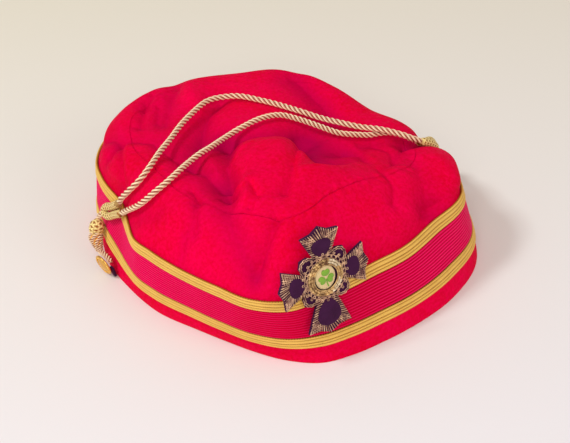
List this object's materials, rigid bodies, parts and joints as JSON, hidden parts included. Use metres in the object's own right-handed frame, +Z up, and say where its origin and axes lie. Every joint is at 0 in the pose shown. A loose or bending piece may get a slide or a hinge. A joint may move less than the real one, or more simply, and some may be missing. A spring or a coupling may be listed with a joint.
{
  "type": "fez hat",
  "caption": "Soft red fez lying slumped, with a corded ribbon between gold braids, gold cords with knots and buttons, and an embroidered cross on the front.",
  "frame": {"origin": "middle of the hat's footprint, at the surface that its open rim rests on", "axes": "+Z up, the badge's side of the hat faces -Y, +X towards the wearer's left when the hat is worn badge forward"},
  "size_m": [0.2062, 0.1863, 0.0768],
  "materials": {
    "red_cloth": "satin-faced wool cloth",
    "magenta_ribbon": "ribbed silk ribbon",
    "gold_braid": "woven metal-thread braid",
    "gold_cord": "twisted metal-thread cord",
    "gilt_metal": "gilt, lightly tarnished",
    "velvet": "velvet pile",
    "bullion": "laid bullion wire",
    "ring_gold": "coiled gilt wire",
    "cream_silk": "satin-stitched silk",
    "green_silk": "satin-stitched silk"
  },
  "bodies": {
    "root": {"headband": "red_cloth", "ribbon": "magenta_ribbon", "lower_braid": "gold_braid", "upper_braid": "gold_braid", "crown_side": "red_cloth", "crown_top": "red_cloth", "cord_far": "gold_cord", "cord_near": "gold_cord", "left_drop": "gold_cord", "left_tail": "gold_cord", "right_drop": "gold_cord", "right_tail": "gold_cord", "left_loop": "gold_cord", "left_knot": "gold_cord", "right_loop": "gold_cord", "right_knot": "gold_cord", "left_button": "gilt_metal", "right_button": "gilt_metal", "button_tab": "velvet", "badge_ground": "bullion", "badge_pad_right": "velvet", "badge_pad_top": "velvet", "badge_pad_left": "velvet", "badge_pad_bottom": "velvet", "badge_ring": "ring_gold", "badge_medallion": "cream_silk", "badge_sprig": "green_silk"}
  },
  "joints": []
}
